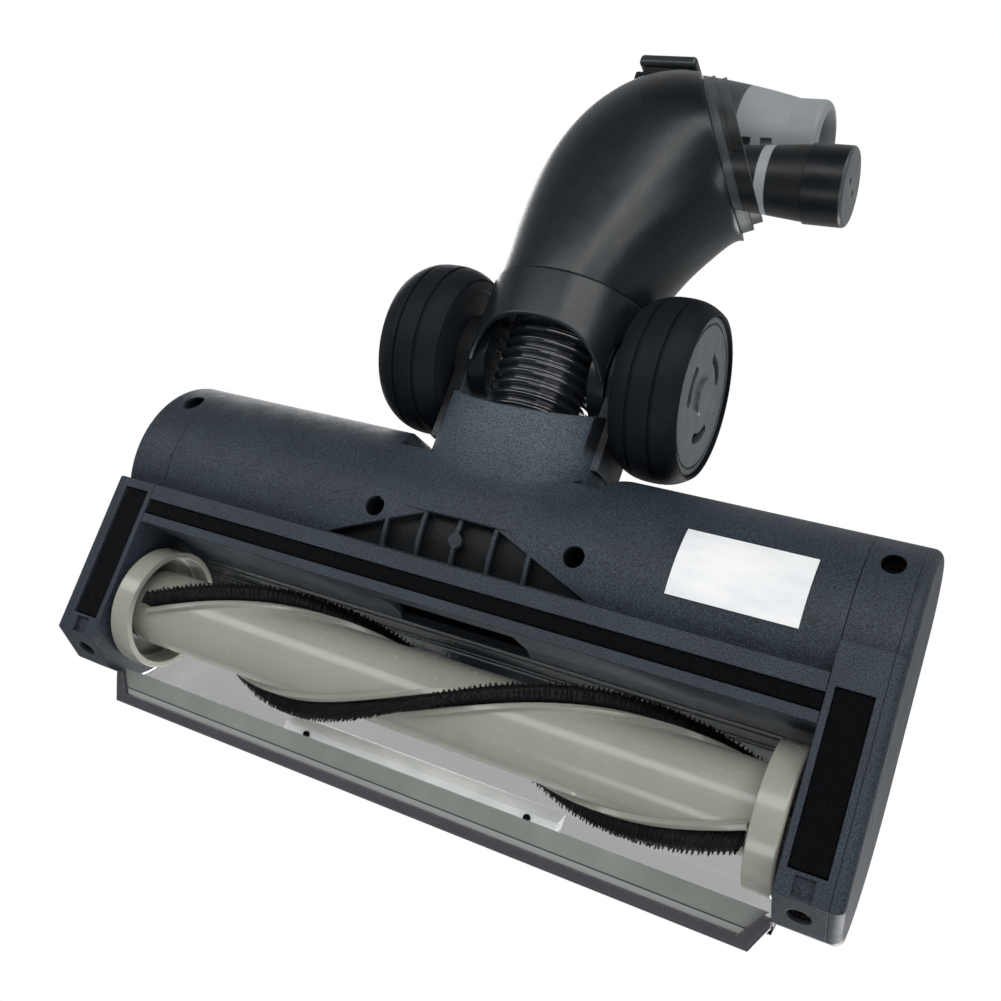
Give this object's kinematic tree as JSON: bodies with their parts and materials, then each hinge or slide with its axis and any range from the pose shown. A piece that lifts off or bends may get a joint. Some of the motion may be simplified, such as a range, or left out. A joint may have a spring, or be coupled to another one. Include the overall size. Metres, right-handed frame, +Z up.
{
  "type": "vacuum floor brush head",
  "caption": "Powered vacuum floor head: helical bristle roll under a clear window, wheeled hinge with hose, swivel elbow and side-facing wand spigot with plug.",
  "frame": {"origin": "middle of the rear sole rail, on the floor plane", "axes": "+X along the brush towards the belt drive, +Y to the rear towards the arm, +Z up in use"},
  "size_m": [0.257, 0.2624, 0.058],
  "materials": {
    "housing_textured": "fine moulded texture",
    "arm_black": "semi-gloss moulding",
    "window_clear": "clear moulding",
    "bumper_black": "glossy rim",
    "lens_milky": "milky lens",
    "screw_steel": "blackened",
    "felt_black": "felt",
    "label_blank": "satin sticker",
    "roll_beige": "glossy warm grey",
    "bristle_black": "nylon tufts",
    "steel": "turned",
    "motor_can": "plated can",
    "bearing_bronze": "bare",
    "pulley_white": "acetal",
    "belt_rubber": "matt",
    "hose_rubber": "satin ribs",
    "tyre_rubber": "matt",
    "wheel_grey": "satin moulding",
    "spigot_grey": "satin moulding"
  },
  "bodies": {
    "head": {"lower_housing": "housing_textured", "upper_housing": "housing_textured", "clear_window": "window_clear", "front_bumper": "bumper_black", "light_bar": "lens_milky", "light_bar_screws": "screw_steel", "left_end_block": "housing_textured", "right_end_block": "housing_textured", "left_side_cap": "housing_textured", "right_side_cap": "housing_textured", "left_felt_pad": "felt_black", "right_felt_pad": "felt_black", "rear_felt_strip": "felt_black", "blank_label": "label_blank", "housing_screws": "screw_steel", "brush_motor": "motor_can", "drive_belt": "belt_rubber", "left_brush_bearing": "bearing_bronze", "right_brush_bearing": "bearing_bronze", "hose": "hose_rubber", "front_hose_cuff": "arm_black", "left_pivot_axle": "steel", "right_pivot_axle": "steel"},
    "brush": {"brush_core": "roll_beige", "bristle_strips": "bristle_black", "left_end_ring": "roll_beige", "right_end_ring": "roll_beige", "brush_axle": "steel", "brush_pulley": "pulley_white"},
    "rotor": {"motor_shaft": "steel", "motor_pulley": "pulley_white"},
    "yoke": {"yoke_fork": "arm_black", "swivel_bush": "pulley_white", "rear_hose_cuff": "arm_black"},
    "left_wheel": {"left_wheel_hub": "wheel_grey", "left_tyre": "tyre_rubber", "left_hubcap": "wheel_grey"},
    "right_wheel": {"right_wheel_hub": "wheel_grey", "right_tyre": "tyre_rubber", "right_hubcap": "wheel_grey"},
    "elbow": {"elbow_shell": "arm_black", "spigot_base": "spigot_grey", "plug_cap": "spigot_grey", "contact_pins": "bearing_bronze", "button_spring": "steel"},
    "button": {"release_button": "arm_black"}
  },
  "joints": [
    {"name": "yoke_pitch", "type": "hinge", "parent": "head", "child": "yoke", "pos_m": [0, 0.0792, 0.029], "axis": [1, 0, 0], "range_deg": [0, 75], "deforming": ["hose"]},
    {"name": "elbow_swivel", "type": "hinge", "parent": "yoke", "child": "elbow", "pos_m": [0, 0.101, 0.027], "axis": [0, 1, 0], "range_deg": [0, 180]},
    {"name": "left_wheel_spin", "type": "hinge", "parent": "head", "child": "left_wheel", "pos_m": [0.04, 0.0792, 0.029], "axis": [1, 0, 0], "continuous": true},
    {"name": "right_wheel_spin", "type": "hinge", "parent": "head", "child": "right_wheel", "pos_m": [-0.04, 0.0792, 0.029], "axis": [1, 0, 0], "continuous": true},
    {"name": "brush_spin", "type": "hinge", "parent": "head", "child": "brush", "pos_m": [0, -0.033, 0.0205], "axis": [1, 0, 0], "continuous": true},
    {"name": "motor_spin", "type": "hinge", "parent": "head", "child": "rotor", "pos_m": [0.08, 0.02, 0.031], "axis": [1, 0, 0], "continuous": true},
    {"name": "button_press", "type": "slide", "parent": "elbow", "child": "button", "axis": [0, -1, 0], "range_m": [0, 0.003], "stiffness_N_per_m": 300, "springref_m": -0.004, "deforming": ["button_spring"]}
  ],
  "couplings": [
    {"joint": "motor_spin", "follows": "brush_spin", "ratio": 2.2}
  ]
}
